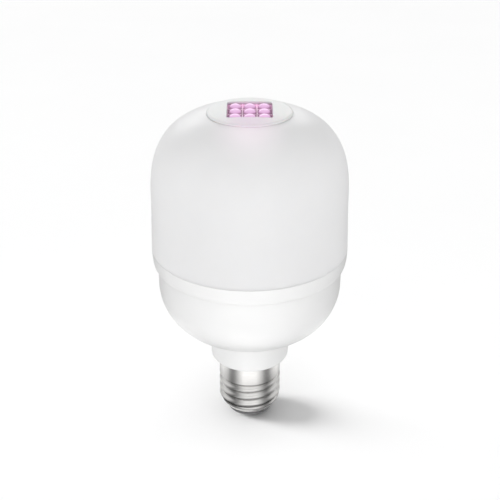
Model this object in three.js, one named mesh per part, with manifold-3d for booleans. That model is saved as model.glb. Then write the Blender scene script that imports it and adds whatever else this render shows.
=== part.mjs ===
// Smart light bulb with an E27 screw cap, a milky diffuser and a window of nine violet LEDs in its crown.
// Millimetres, +Z up along the bulb's axis, origin at the centre of the flat end of the centre contact.
import * as THREE from "three";
import { mergeVertices } from "three/addons/utils/BufferGeometryUtils.js";
import Module from "manifold-3d";

const wasm = await Module();
wasm.setup();

// ---------------------------------------------------------------- driving dimensions
const GAP = 0.3; // clearance between neighbouring pieces
const SEGMENTS = 40; // sides of the large round pieces
const MEDIUM_SEGMENTS = 28; // sides of the insulator, the contact and the inner post
const SMALL_SEGMENTS = 20; // sides of the small round pieces
const TINY_SEGMENTS = 12; // sides of screws, lenses and holes
const SHELL_SEGMENTS = 36; // sides of the screw shell

// Screw cap
const THREAD_PITCH = 25.4 / 7;
const THREAD_CREST_RADIUS = 13.1;
const THREAD_ROOT_RADIUS = 12.1;
const THREAD_CREST_Z = 17.8; // height of one crest at angle 0
const THREAD_TOP = 19.2;
const THREAD_RUNOUT = 1.0; // height over which the thread fades into the plain band
const BAND_RADIUS = 12.9; // plain band above the thread
const SHELL_BOTTOM = 4.2;
const SHELL_TOP = 28.4;
const SHELL_WALL = 0.45;
const MOUTH_RADIUS = 10.5; // radius of the shell's lower edge
const MOUTH_SLOPE = 0.7; // how fast the tapered lower end widens with height
const INSULATOR_BOTTOM = 1.0;
const INSULATOR_TOP = 9.4;
const INSULATOR_RADIUS = MOUTH_RADIUS - SHELL_WALL - GAP;
const INSULATOR_FACE_RADIUS = 7.4; // flat end around the contact
const CONTACT_RADIUS = 5.4;
const CONTACT_THICKNESS = INSULATOR_BOTTOM - GAP;
const CONTACT_SHANK_RADIUS = 1.4;
const CONTACT_TOP = INSULATOR_TOP + 0.6;

// Housing
const NECK_RADIUS = 16.4;
const NECK_BOTTOM = 28.8;
const NECK_CHAMFER = 0.9;
const SPIGOT_RADIUS = BAND_RADIUS - SHELL_WALL - GAP - 0.1;
const SPIGOT_BOTTOM = 23.0;
const SPIGOT_WALL = 1.6;
const BOWL_WALL_RADIUS = 37.0; // housing wall where the bowl begins
const BOWL_TOP = 64.7;
const BOWL_REACH = 21.8; // horizontal semi-axis of the bowl's elliptical section
const BOWL_DEPTH = 22.0; // vertical semi-axis
const HOUSING_WALL = 2.0;
const UPSTAND_RADIUS = 36.2;
const UPSTAND_WALL = 1.7;
const UPSTAND_TOP = 80.1;
const UPSTAND_FOOT = 70.3; // where the upstand's inner face meets the bowl's

// Trim ring and diffuser
const SEAM_Z = 81.0;
const TRIM_BOTTOM = 74.3;
const TRIM_TOP = SEAM_Z - GAP;
const TRIM_BOTTOM_RADIUS = 38.3;
const SEAM_RADIUS = 39.1;
const DOME_RADIUS = 38.5; // radius where the wall turns into the dome
const DOME_START = 99.2;
const DOME_HEIGHT = 36.9;
const DOME_POWER = 3.0; // exponent of the superelliptical dome
const DIFFUSER_WALL = 1.6;
const CROWN_HOLE_RADIUS = 15.2;
const SKIRT_OUTER = 34.1; // diffuser's inner skirt, held by the housing's upstand
const SKIRT_INNER = 32.4;
const SKIRT_BOTTOM = 76.0;

// Crown cap and its window
const CAP_RADIUS = 16.3;
const CAP_RIM_BOTTOM = 135.65;
const CAP_RIM_TOP = 136.05;
const CAP_APEX = 137.15;
const CAP_SKIRT_RADIUS = CROWN_HOLE_RADIUS - 0.4;
const CAP_SKIRT_WALL = 1.2;
const CAP_SKIRT_BOTTOM = 131.6;
const WINDOW_WIDTH = 17.0; // along X
const WINDOW_LENGTH = 18.0; // along Y
const WINDOW_ROWS = 3;
const WINDOW_COLUMNS = 3;

// Window LED module
const TRAY_BOTTOM = 131.5;
const TRAY_TOP = CAP_RIM_BOTTOM - GAP;
const TRAY_WALL = 0.6;
const TRAY_WIDTH = WINDOW_WIDTH + TRAY_WALL; // the frame reaches under the window's edges
const TRAY_LENGTH = WINDOW_LENGTH + TRAY_WALL + 0.5;
const CELL_WIDTH = (TRAY_WIDTH - 2 * TRAY_WALL) / WINDOW_COLUMNS;
const CELL_LENGTH = (TRAY_LENGTH - 2 * TRAY_WALL) / WINDOW_ROWS;
const WINDOW_BOARD_BOTTOM = 133.0;
const WINDOW_BOARD_TOP = 134.4;
const LED_BASE = 4.7;
const LED_BASE_HEIGHT = 0.7;
const LED_DOME_RADIUS = 2.3;
const LED_DOME_HEIGHT = 1.4;
const DIVIDER_THICKNESS = 0.5;
const DIVIDER_TOP = 135.3;

// Light engine
const SINK_TOP = 75.6;
const SINK_PLATE = 1.6;
const SINK_RADIUS = 33.9;
const SINK_BOTTOM = 66.0;
const SINK_WALL = 1.4;
const SINK_HOLE_RADIUS = 9.0;
const ENGINE_BOTTOM = SINK_TOP + GAP;
const ENGINE_THICKNESS = 1.6;
const ENGINE_RADIUS = SKIRT_INNER - 0.4;
const ENGINE_HOLE_RADIUS = 12.6;
const WHITE_LED_COUNT = 12;
const WHITE_LED_CIRCLE = 26.5;
const WHITE_LED_SIZE = [2.8, 3.5, 0.8];
const SCREW_COUNT = 3;
const SCREW_CIRCLE = 19.0;
const SCREW_HOLE_RADIUS = 1.5;
const SCREW_LENGTH = 5.0;
const POST_RADIUS = 11.5;
const POST_WALL = 1.7;
const POST_FLANGE_RADIUS = 12.3;
const POST_HEAD_RADIUS = 13.2;
const POST_TOP = TRAY_BOTTOM - GAP;

// Driver
const BOARD_THICKNESS = 1.6;
const BOARD_BOTTOM = 14.0;
const BOARD_TOP = 68.0;
const BOARD_NECK_WIDTH = 17.0;
const BOARD_WIDTH = 36.0;
const BOARD_STEP_BOTTOM = 44.0;
const BOARD_STEP_TOP = 50.0;
const BOARD_FACE = BOARD_THICKNESS / 2 + GAP; // where parts on either face of the board start
const WIRE_RADIUS = 0.6;
const WIRE_SIDES = 6;
const LAMP_LEAD_X = 15.0;
const LAMP_LEAD_Y = 5.0;
const LAMP_HOLE_RADIUS = 1.4;
const WINDOW_LEAD_X = 3.0;
const WINDOW_LEAD_Y = 4.0;

// ---------------------------------------------------------------- materials
function finish(color, roughness, metalness = 0, extra = {}) {
  return new THREE.MeshStandardMaterial({ color, roughness, metalness, ...extra });
}

const MILKY = finish(0xf1f0f0, 0.32);
const WHITE_GLOSS = finish(0xfbfbfa, 0.25);
const WHITE_SATIN = finish(0xe9ebea, 0.4);
const NICKEL = finish(0xc9c7c5, 0.25, 1);
const SOLDER = finish(0xb9b8b5, 0.35, 1);
const BLACK_GLASS = finish(0x17171a, 0.15);
const ALUMINIUM = finish(0xc4c6c8, 0.4, 1);
const TRAY_PLUM = finish(0x6b3f5c, 0.45);
const VIOLET_LENS = finish(0xf6c8f0, 0.15, 0, { emissive: 0xd070c8, emissiveIntensity: 0.6 });
const BOARD_WHITE = finish(0xf0efe9, 0.5);
const BOARD_GREEN = finish(0x2c6b45, 0.5);
const BLUE_SLEEVE = finish(0x24356b, 0.35);
const BLACK_EPOXY = finish(0x1d1d1f, 0.5);
const YELLOW_TAPE = finish(0xd9b93c, 0.45);
const PHOSPHOR = finish(0xf3d96a, 0.5);
const COPPER = finish(0xb5683a, 0.35, 1);
const RED_WIRE = finish(0xb02a25, 0.45);
const BLACK_WIRE = finish(0x222224, 0.45);
const RESISTOR_GREY = finish(0x8d949c, 0.5);

// ---------------------------------------------------------------- helpers
const root = new THREE.Group();

function add(name, geometry, material, parent = root) {
  const mesh = new THREE.Mesh(geometry, material);
  mesh.name = name;
  parent.add(mesh);
  return mesh;
}

// A solid of revolution about Z. The outline is a list of [radius, z] that runs anticlockwise
// in the (radius, z) plane. It closes on itself, or on the axis where it touches the axis.
function revolve(outline, segments = SEGMENTS) {
  const first = outline[0];
  const last = outline[outline.length - 1];
  const onAxis = first[0] === 0 && last[0] === 0;
  const closed = onAxis ? outline : [...outline, first];
  const points = closed.map(([radius, z]) => new THREE.Vector2(radius, z));
  return new THREE.LatheGeometry(points, segments).rotateX(Math.PI / 2);
}

function box(width, length, height, x, y, bottom) {
  return new THREE.BoxGeometry(width, length, height).translate(x, y, bottom + height / 2);
}

function cylinder(radius, height, x, y, bottom, segments = SMALL_SEGMENTS) {
  return new THREE.CylinderGeometry(radius, radius, height, segments)
    .rotateX(Math.PI / 2)
    .translate(x, y, bottom + height / 2);
}

function toSolid(geometry) {
  const bare = geometry.index ? geometry.toNonIndexed() : geometry.clone();
  bare.deleteAttribute("normal");
  bare.deleteAttribute("uv");
  const merged = mergeVertices(bare, 1e-4);
  const surface = new wasm.Mesh({
    numProp: 3,
    vertProperties: new Float32Array(merged.attributes.position.array),
    triVerts: new Uint32Array(merged.index.array),
  });
  return new wasm.Manifold(surface);
}

function toGeometry(solid) {
  const surface = solid.getMesh();
  const geometry = new THREE.BufferGeometry();
  geometry.setAttribute("position", new THREE.BufferAttribute(surface.vertProperties, surface.numProp));
  geometry.setIndex(new THREE.BufferAttribute(surface.triVerts, 1));
  geometry.computeVertexNormals();
  return geometry;
}

function join(...geometries) {
  return toGeometry(geometries.map(toSolid).reduce((whole, piece) => whole.add(piece)));
}

function cut(geometry, ...tools) {
  return toGeometry(tools.map(toSolid).reduce((whole, tool) => whole.subtract(tool), toSolid(geometry)));
}

// Points spaced evenly from one value to another, both ends included.
function steps(from, to, count) {
  return Array.from({ length: count + 1 }, (_, i) => from + ((to - from) * i) / count);
}

function smoothStep(value, low, high) {
  const t = Math.min(1, Math.max(0, (value - low) / (high - low)));
  return t * t * (3 - 2 * t);
}

function onCircle(radius, index, count, start = 0) {
  const angle = start + (2 * Math.PI * index) / count;
  return { angle, x: radius * Math.cos(angle), y: radius * Math.sin(angle) };
}

// A round wire along a smooth curve through the given points, in a number of short lengths.
function wire(points, lengths) {
  const outline = new THREE.Shape().absarc(0, 0, WIRE_RADIUS, 0, 2 * Math.PI);
  const path = new THREE.CatmullRomCurve3(points.map((point) => new THREE.Vector3(...point)));
  const settings = { steps: lengths, curveSegments: WIRE_SIDES, extrudePath: path };
  return new THREE.ExtrudeGeometry(outline, settings);
}

// ---------------------------------------------------------------- screw cap
// Radius of the rolled sheet's outer face: a right-hand thread that runs out into a plain band above
// and is cut off below by a cone towards the shell's mouth.
function threadRadius(angle, z) {
  const turns = (z - THREAD_CREST_Z) / THREAD_PITCH - angle / (2 * Math.PI);
  const wave = 0.5 + 0.5 * Math.cos(2 * Math.PI * turns);
  const threaded = THREAD_ROOT_RADIUS + (THREAD_CREST_RADIUS - THREAD_ROOT_RADIUS) * wave;
  const plain = smoothStep(z, THREAD_TOP - THREAD_RUNOUT, THREAD_TOP + THREAD_RUNOUT);
  const cone = MOUTH_RADIUS + MOUTH_SLOPE * (z - SHELL_BOTTOM);
  return Math.min(threaded + (BAND_RADIUS - threaded) * plain, cone);
}

function screwShell() {
  const threadRows = 21;
  const heights = [...steps(SHELL_BOTTOM, THREAD_TOP + THREAD_RUNOUT, threadRows), SHELL_TOP];
  const outer = heights.map((z) => ({ z, inset: 0 }));
  const inner = heights.map((z) => ({ z, inset: SHELL_WALL })).reverse();
  const loop = [...outer, ...inner];
  const positions = [];
  for (let i = 0; i < SHELL_SEGMENTS; i++) {
    const { angle } = onCircle(1, i, SHELL_SEGMENTS);
    for (const { z, inset } of loop) {
      const radius = threadRadius(angle, z) - inset;
      positions.push(radius * Math.cos(angle), radius * Math.sin(angle), z);
    }
  }
  const faces = [];
  for (let i = 0; i < SHELL_SEGMENTS; i++) {
    for (let j = 0; j < loop.length; j++) {
      const next = ((i + 1) % SHELL_SEGMENTS) * loop.length;
      const here = i * loop.length;
      const above = (j + 1) % loop.length;
      faces.push(here + j, next + j, next + above);
      faces.push(here + j, next + above, here + above);
    }
  }
  const geometry = new THREE.BufferGeometry();
  geometry.setAttribute("position", new THREE.Float32BufferAttribute(positions, 3));
  geometry.setIndex(faces);
  geometry.computeVertexNormals();
  return geometry;
}

function insulator() {
  const bore = CONTACT_SHANK_RADIUS + GAP;
  const bulge = INSULATOR_RADIUS - INSULATOR_FACE_RADIUS;
  // The glass bulges out of the shell's mouth in a quarter round.
  const face = steps(0, 1, 3).map((t) => {
    const angle = (t * Math.PI) / 2;
    const rise = bulge * (1 - Math.cos(angle));
    return [INSULATOR_FACE_RADIUS + bulge * Math.sin(angle), INSULATOR_BOTTOM + rise];
  });
  return revolve([
    [bore, INSULATOR_BOTTOM],
    ...face,
    [INSULATOR_RADIUS, INSULATOR_TOP - 1],
    [INSULATOR_RADIUS - 1, INSULATOR_TOP],
    [bore, INSULATOR_TOP],
  ], MEDIUM_SEGMENTS);
}

function centreContact() {
  return revolve([
    [0, 0],
    [CONTACT_RADIUS - 1.2, 0],
    [CONTACT_RADIUS, CONTACT_THICKNESS * 0.6],
    [CONTACT_RADIUS, CONTACT_THICKNESS],
    [CONTACT_SHANK_RADIUS, CONTACT_THICKNESS],
    [CONTACT_SHANK_RADIUS, CONTACT_TOP],
    [0, CONTACT_TOP],
  ], MEDIUM_SEGMENTS);
}

// ---------------------------------------------------------------- housing and trim ring
// Outline of the bowl from the neck up to its rim, set in from the outer face by an inset. It follows
// a quarter of an ellipse, which starts where the ellipse comes out of the neck.
function bowlOutline(inset, rows) {
  const middle = BOWL_WALL_RADIUS - BOWL_REACH;
  const reach = BOWL_REACH - inset;
  const start = Math.asin(Math.max(0, (NECK_RADIUS - inset - middle) / reach));
  return steps(start, Math.PI / 2, rows).map((angle) => {
    return [middle + reach * Math.sin(angle), BOWL_TOP - (BOWL_DEPTH - inset) * Math.cos(angle)];
  });
}

function housing() {
  const neckBore = NECK_RADIUS - HOUSING_WALL;
  const spigotBore = SPIGOT_RADIUS - SPIGOT_WALL;
  const inner = bowlOutline(HOUSING_WALL, 8).reverse();
  const neckTop = inner[inner.length - 1][1] - HOUSING_WALL / 2;
  return revolve([
    [spigotBore, SPIGOT_BOTTOM],
    [SPIGOT_RADIUS, SPIGOT_BOTTOM],
    [SPIGOT_RADIUS, NECK_BOTTOM],
    [NECK_RADIUS - NECK_CHAMFER, NECK_BOTTOM],
    [NECK_RADIUS, NECK_BOTTOM + NECK_CHAMFER],
    ...bowlOutline(0, 10),
    [BOWL_WALL_RADIUS, TRIM_BOTTOM - GAP],
    [UPSTAND_RADIUS, TRIM_BOTTOM - GAP],
    [UPSTAND_RADIUS, UPSTAND_TOP],
    [UPSTAND_RADIUS - UPSTAND_WALL, UPSTAND_TOP],
    [UPSTAND_RADIUS - UPSTAND_WALL, UPSTAND_FOOT],
    ...inner,
    [neckBore, neckTop],
    [neckBore, NECK_BOTTOM + HOUSING_WALL],
    [spigotBore, NECK_BOTTOM + HOUSING_WALL],
  ]);
}

function trimRing() {
  const bore = UPSTAND_RADIUS + GAP;
  const rows = 5;
  // The band's face is a quarter of an ellipse that turns in towards its lower edge.
  const face = steps(0, 1, rows).map((t) => {
    const angle = (t * Math.PI) / 2;
    const radius = TRIM_BOTTOM_RADIUS + (SEAM_RADIUS - TRIM_BOTTOM_RADIUS) * Math.sin(angle);
    return [radius, TRIM_TOP - (TRIM_TOP - TRIM_BOTTOM) * Math.cos(angle)];
  });
  return revolve([[bore, TRIM_BOTTOM], ...face, [bore, TRIM_TOP]]);
}

// ---------------------------------------------------------------- diffuser
// Height of the dome above its start at a share of its radius.
function domePoint(t, inset) {
  const angle = (t * Math.PI) / 2;
  const power = 2 / DOME_POWER;
  const radius = (DOME_RADIUS - inset) * Math.cos(angle) ** power;
  return [radius, DOME_START + (DOME_HEIGHT - inset) * Math.sin(angle) ** power];
}

// The dome's outline from its start up to the crown hole.
function domeOutline(inset, rows) {
  const share = CROWN_HOLE_RADIUS / (DOME_RADIUS - inset);
  const end = (Math.acos(share ** (DOME_POWER / 2)) * 2) / Math.PI;
  return steps(0, end, rows).map((t) => domePoint(t, inset));
}

function diffuser() {
  const ledge = SEAM_Z + DIFFUSER_WALL;
  return revolve([
    [SKIRT_INNER, SKIRT_BOTTOM],
    [SKIRT_OUTER, SKIRT_BOTTOM],
    [SKIRT_OUTER, SEAM_Z],
    [SEAM_RADIUS, SEAM_Z],
    ...domeOutline(0, 10),
    ...domeOutline(DIFFUSER_WALL, 7).reverse(),
    [SEAM_RADIUS - DIFFUSER_WALL, ledge],
    [SKIRT_INNER, ledge],
  ]);
}

// ---------------------------------------------------------------- crown cap and window module
function crownCap() {
  const skirtInner = CAP_SKIRT_RADIUS - CAP_SKIRT_WALL;
  const roof = CAP_RIM_BOTTOM;
  const crown = steps(1, 0, 4).map((t) => {
    return [CAP_RADIUS * t, CAP_APEX - (CAP_APEX - CAP_RIM_TOP) * t * t];
  });
  const cap = revolve([
    [0, roof],
    [skirtInner, roof],
    [skirtInner, CAP_SKIRT_BOTTOM],
    [CAP_SKIRT_RADIUS, CAP_SKIRT_BOTTOM],
    [CAP_SKIRT_RADIUS, CAP_RIM_BOTTOM],
    [CAP_RADIUS - 0.2, CAP_RIM_BOTTOM],
    ...crown,
  ]);
  return cut(cap, box(WINDOW_WIDTH, WINDOW_LENGTH, 4, 0, 0, roof - 1));
}

function ledTray() {
  const height = TRAY_TOP - TRAY_BOTTOM;
  const innerWidth = TRAY_WIDTH - 2 * TRAY_WALL;
  const innerLength = TRAY_LENGTH - 2 * TRAY_WALL;
  const hollow = box(innerWidth, innerLength, height + 2, 0, 0, TRAY_BOTTOM - 1);
  const frame = cut(box(TRAY_WIDTH, TRAY_LENGTH, height, 0, 0, TRAY_BOTTOM), hollow);
  const dividerBottom = WINDOW_BOARD_TOP + GAP;
  const dividerHeight = DIVIDER_TOP - dividerBottom;
  const dividers = [];
  for (const side of [-0.5, 0.5]) {
    const x = side * CELL_WIDTH;
    const y = side * CELL_LENGTH;
    dividers.push(box(DIVIDER_THICKNESS, TRAY_LENGTH - TRAY_WALL, dividerHeight, x, 0, dividerBottom));
    dividers.push(box(TRAY_WIDTH - TRAY_WALL, DIVIDER_THICKNESS, dividerHeight, 0, y, dividerBottom));
  }
  return join(frame, ...dividers);
}

function windowBoard() {
  const width = TRAY_WIDTH - 2 * TRAY_WALL - 2 * GAP;
  const length = TRAY_LENGTH - 2 * TRAY_WALL - 2 * GAP;
  return box(width, length, WINDOW_BOARD_TOP - WINDOW_BOARD_BOTTOM, 0, 0, WINDOW_BOARD_BOTTOM);
}

// One violet LED: a square package with a flattened dome lens.
function windowLed() {
  const base = box(LED_BASE, LED_BASE, LED_BASE_HEIGHT, 0, 0, 0);
  const lens = revolve(
    [
      [0, LED_BASE_HEIGHT / 2],
      ...steps(0, 1, 4).map((t) => {
        const angle = (t * Math.PI) / 2;
        const radius = t === 1 ? 0 : LED_DOME_RADIUS * Math.cos(angle);
        return [radius, LED_BASE_HEIGHT * 0.9 + LED_DOME_HEIGHT * Math.sin(angle)];
      }),
    ],
    TINY_SEGMENTS,
  );
  return join(base, lens);
}

function addWindowLeds() {
  const geometry = windowLed();
  const cells = new THREE.Group();
  cells.position.z = WINDOW_BOARD_TOP + GAP;
  root.add(cells);
  for (let row = 0; row < WINDOW_ROWS; row++) {
    for (let column = 0; column < WINDOW_COLUMNS; column++) {
      const led = add(`window_led_${row + 1}_${column + 1}`, geometry, VIOLET_LENS, cells);
      led.position.x = (column - 1) * CELL_WIDTH;
      led.position.y = (row - 1) * CELL_LENGTH;
    }
  }
}

// ---------------------------------------------------------------- light engine
function screwHoles(bottom, height) {
  return Array.from({ length: SCREW_COUNT }, (_, i) => {
    const { x, y } = onCircle(SCREW_CIRCLE, i, SCREW_COUNT, Math.PI / 2);
    return cylinder(SCREW_HOLE_RADIUS, height, x, y, bottom, TINY_SEGMENTS);
  });
}

function heatSink() {
  const plateBottom = SINK_TOP - SINK_PLATE;
  const dish = revolve([
    [SINK_HOLE_RADIUS, plateBottom],
    [SINK_RADIUS - SINK_WALL, plateBottom],
    [SINK_RADIUS - SINK_WALL, SINK_BOTTOM],
    [SINK_RADIUS, SINK_BOTTOM],
    [SINK_RADIUS, SINK_TOP - 1],
    [SINK_RADIUS - 1, SINK_TOP],
    [SINK_HOLE_RADIUS, SINK_TOP],
  ]);
  const leadHoles = [-1, 1].map((side) => {
    const x = side * LAMP_LEAD_X;
    return cylinder(LAMP_HOLE_RADIUS, SINK_PLATE + 2, x, LAMP_LEAD_Y, plateBottom - 1, TINY_SEGMENTS);
  });
  return cut(dish, ...screwHoles(plateBottom - 1, SINK_PLATE + 2), ...leadHoles);
}

function engineBoard() {
  const disc = revolve([
    [ENGINE_HOLE_RADIUS, ENGINE_BOTTOM],
    [ENGINE_RADIUS, ENGINE_BOTTOM],
    [ENGINE_RADIUS, ENGINE_BOTTOM + ENGINE_THICKNESS],
    [ENGINE_HOLE_RADIUS, ENGINE_BOTTOM + ENGINE_THICKNESS],
  ]);
  return cut(disc, ...screwHoles(ENGINE_BOTTOM - 1, ENGINE_THICKNESS + 2));
}

function addWhiteLeds() {
  const [radial, tangential, height] = WHITE_LED_SIZE;
  for (let i = 0; i < WHITE_LED_COUNT; i++) {
    const { angle, x, y } = onCircle(WHITE_LED_CIRCLE, i, WHITE_LED_COUNT, Math.PI / WHITE_LED_COUNT);
    const led = add(`white_led_${i + 1}`, box(radial, tangential, height, 0, 0, 0), PHOSPHOR);
    led.position.set(x, y, ENGINE_BOTTOM + ENGINE_THICKNESS + GAP);
    led.rotation.z = angle;
  }
}

function boardScrew() {
  const headRadius = 2.2;
  const headHeight = 1.3;
  const shankRadius = SCREW_HOLE_RADIUS - GAP;
  return revolve(
    [
      [0, -SCREW_LENGTH],
      [shankRadius * 0.6, -SCREW_LENGTH],
      [shankRadius, 0.6 - SCREW_LENGTH],
      [shankRadius, 0],
      [headRadius, 0],
      [headRadius, headHeight * 0.6],
      [headRadius * 0.6, headHeight],
      [0, headHeight],
    ],
    TINY_SEGMENTS,
  );
}

function addBoardScrews() {
  const geometry = boardScrew();
  for (let i = 0; i < SCREW_COUNT; i++) {
    const { x, y } = onCircle(SCREW_CIRCLE, i, SCREW_COUNT, Math.PI / 2);
    const screw = add(`board_screw_${i + 1}`, geometry, NICKEL);
    screw.position.set(x, y, ENGINE_BOTTOM + ENGINE_THICKNESS + GAP);
  }
}

// A tube that carries the window module above the light engine, with a flange at each end.
function innerPost() {
  const bore = POST_RADIUS - POST_WALL;
  const flange = 1.6;
  return revolve([
    [bore, ENGINE_BOTTOM],
    [POST_FLANGE_RADIUS, ENGINE_BOTTOM],
    [POST_FLANGE_RADIUS, ENGINE_BOTTOM + flange],
    [POST_RADIUS, ENGINE_BOTTOM + flange],
    [POST_RADIUS, POST_TOP - 2 * flange],
    [POST_HEAD_RADIUS, POST_TOP - flange],
    [POST_HEAD_RADIUS, POST_TOP],
    [bore, POST_TOP],
  ], MEDIUM_SEGMENTS);
}

// ---------------------------------------------------------------- driver
function driverBoard() {
  const neck = BOARD_NECK_WIDTH / 2;
  const half = BOARD_WIDTH / 2;
  const outline = new THREE.Shape([
    new THREE.Vector2(-neck, BOARD_BOTTOM),
    new THREE.Vector2(neck, BOARD_BOTTOM),
    new THREE.Vector2(neck, BOARD_STEP_BOTTOM),
    new THREE.Vector2(half, BOARD_STEP_TOP),
    new THREE.Vector2(half, BOARD_TOP),
    new THREE.Vector2(-half, BOARD_TOP),
    new THREE.Vector2(-half, BOARD_STEP_TOP),
    new THREE.Vector2(-neck, BOARD_STEP_BOTTOM),
  ]);
  return new THREE.ExtrudeGeometry(outline, { depth: BOARD_THICKNESS, bevelEnabled: false })
    .rotateX(Math.PI / 2)
    .translate(0, BOARD_THICKNESS / 2, 0);
}

// An electrolytic capacitor: a can with a groove rolled in near its foot.
function capacitor(radius, height, x, y, bottom) {
  const outline = [
    [0, 0],
    [radius, 0],
    [radius, 1.2],
    [radius - 0.5, 1.7],
    [radius, 2.2],
    [radius, height - 0.5],
    [radius - 0.5, height],
    [0, height],
  ];
  return revolve(outline, SMALL_SEGMENTS).translate(x, y, bottom);
}

function transformer(x, bottom) {
  const width = 15;
  const length = 11;
  const height = 14;
  const y = BOARD_FACE + length / 2;
  const core = box(width, length - 3, height - 3, x, y, bottom + 1.5);
  const upperFlange = box(width - 3, length, 1.5, x, y, bottom + height - 1.5);
  const lowerFlange = box(width - 3, length, 1.5, x, y, bottom);
  const bobbin = box(width - 4, length - 1, height - 1, x, y, bottom + 0.5);
  return join(core, upperFlange, lowerFlange, bobbin);
}

// A drum-core inductor lying against the board's rear face.
function inductor(x, bottom) {
  const radius = 4.4;
  const height = 8;
  const outline = [
    [0, 0],
    [radius, 0],
    [radius, 1.2],
    [radius - 0.8, 1.6],
    [radius - 0.8, height - 1.6],
    [radius, height - 1.2],
    [radius, height],
    [0, height],
  ];
  return revolve(outline, SMALL_SEGMENTS).translate(x, -BOARD_FACE - radius, bottom);
}

function addDriver() {
  add("driver_board", driverBoard(), BOARD_GREEN);
  add("input_capacitor", capacitor(4.0, 15, 0, BOARD_FACE + 4.0, 22), BLUE_SLEEVE);
  add("output_capacitor", capacitor(4.6, 14, 12, BOARD_FACE + 4.6, 50), BLUE_SLEEVE);
  add("transformer", transformer(-4, 50), YELLOW_TAPE);
  add("line_inductor", inductor(12, 50), COPPER);
  add("fuse_resistor", cylinder(1.7, 9, 0, -BOARD_FACE - 1.7, 20, TINY_SEGMENTS), RESISTOR_GREY);
  add("bridge_rectifier", box(6, 2.6, 5, 0, -BOARD_FACE - 1.3, 33), BLACK_EPOXY);
  add("driver_chip", box(6, 1.6, 5, 12, -BOARD_FACE - 0.8, 61), BLACK_EPOXY);
}

// The radio module stands parallel to the driver board, carried by a pin header.
function addWirelessModule() {
  const x = -6;
  const headerReach = 5;
  const boardThickness = 1.0;
  const boardFace = -BOARD_FACE - headerReach - GAP;
  add("module_header", box(12, headerReach, 2.5, x, -BOARD_FACE - headerReach / 2, 51), BLACK_EPOXY);
  add("wireless_board", box(16, boardThickness, 20, x, boardFace - boardThickness / 2, 49), BOARD_GREEN);
  const canY = boardFace - boardThickness - GAP - 1.2;
  add("radio_shield", box(12, 2.4, 11, x, canY, 50.5), SOLDER);
}

function addLeads() {
  const contactEnd = CONTACT_TOP + GAP;
  const boardFoot = BOARD_BOTTOM - GAP;
  const bend = (contactEnd + boardFoot) / 2;
  add("live_lead", wire([[0, 0, contactEnd], [0.8, 0.4, bend], [0, 0, boardFoot]], 4), COPPER);
  // The neutral lead dips below the board's foot, then turns up beside the shell's wall.
  const wallReach = THREAD_ROOT_RADIUS - SHELL_WALL - GAP - WIRE_RADIUS;
  const neutral = [
    [-6, 0, boardFoot - 0.2],
    [-6.3, 0, boardFoot - 1.3],
    [-8.2, 0, boardFoot - 2.3],
    [-wallReach, 0, boardFoot - 0.2],
  ];
  add("neutral_lead", wire(neutral, 8), BLACK_WIRE);

  const boardEdge = BOARD_TOP + GAP + WIRE_RADIUS;
  const leadTop = ENGINE_BOTTOM - GAP;
  const windowLeadTop = WINDOW_BOARD_BOTTOM - GAP;
  const [postFirst, postMiddle, postLast] = [80, 98, 116]; // heights of the bends inside the post
  for (const [colour, side, material] of [["red", 1, RED_WIRE], ["black", -1, BLACK_WIRE]]) {
    const lampX = side * LAMP_LEAD_X;
    const lampRoute = [
      [lampX, 0, boardEdge],
      [lampX, LAMP_LEAD_Y * 0.4, boardEdge + 1.1],
      [lampX, LAMP_LEAD_Y, boardEdge + 3.6],
      [lampX, LAMP_LEAD_Y, leadTop],
    ];
    add(`lamp_lead_${colour}`, wire(lampRoute, 8), material);
    const x = side * WINDOW_LEAD_X;
    const sway = side * 1.5;
    const windowRoute = [
      [x, 0, boardEdge],
      [x + sway, WINDOW_LEAD_Y * 0.5, postFirst],
      [x, WINDOW_LEAD_Y, postMiddle],
      [x + sway, WINDOW_LEAD_Y * 0.5, postLast],
      [x, WINDOW_LEAD_Y, windowLeadTop],
    ];
    add(`window_lead_${colour}`, wire(windowRoute, 16), material);
  }
}

// ---------------------------------------------------------------- assembly
add("centre_contact", centreContact(), SOLDER);
add("base_insulator", insulator(), BLACK_GLASS);
add("screw_shell", screwShell(), NICKEL);
add("housing", housing(), WHITE_GLOSS);
add("trim_ring", trimRing(), WHITE_GLOSS);
add("diffuser", diffuser(), MILKY);
add("crown_cap", crownCap(), WHITE_SATIN);
add("led_tray", ledTray(), TRAY_PLUM);
add("window_board", windowBoard(), BOARD_WHITE);
addWindowLeds();
add("heat_sink", heatSink(), ALUMINIUM);
add("light_board", engineBoard(), BOARD_WHITE);
addWhiteLeds();
addBoardScrews();
add("inner_post", innerPost(), WHITE_SATIN);
addDriver();
addWirelessModule();
addLeads();

export default root;
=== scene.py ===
"""Smart light bulb: smooth visible pieces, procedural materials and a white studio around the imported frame.

Lengths are in millimetres until a mesh, light or camera is made, which turns them into metres.
"""

import math

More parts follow.
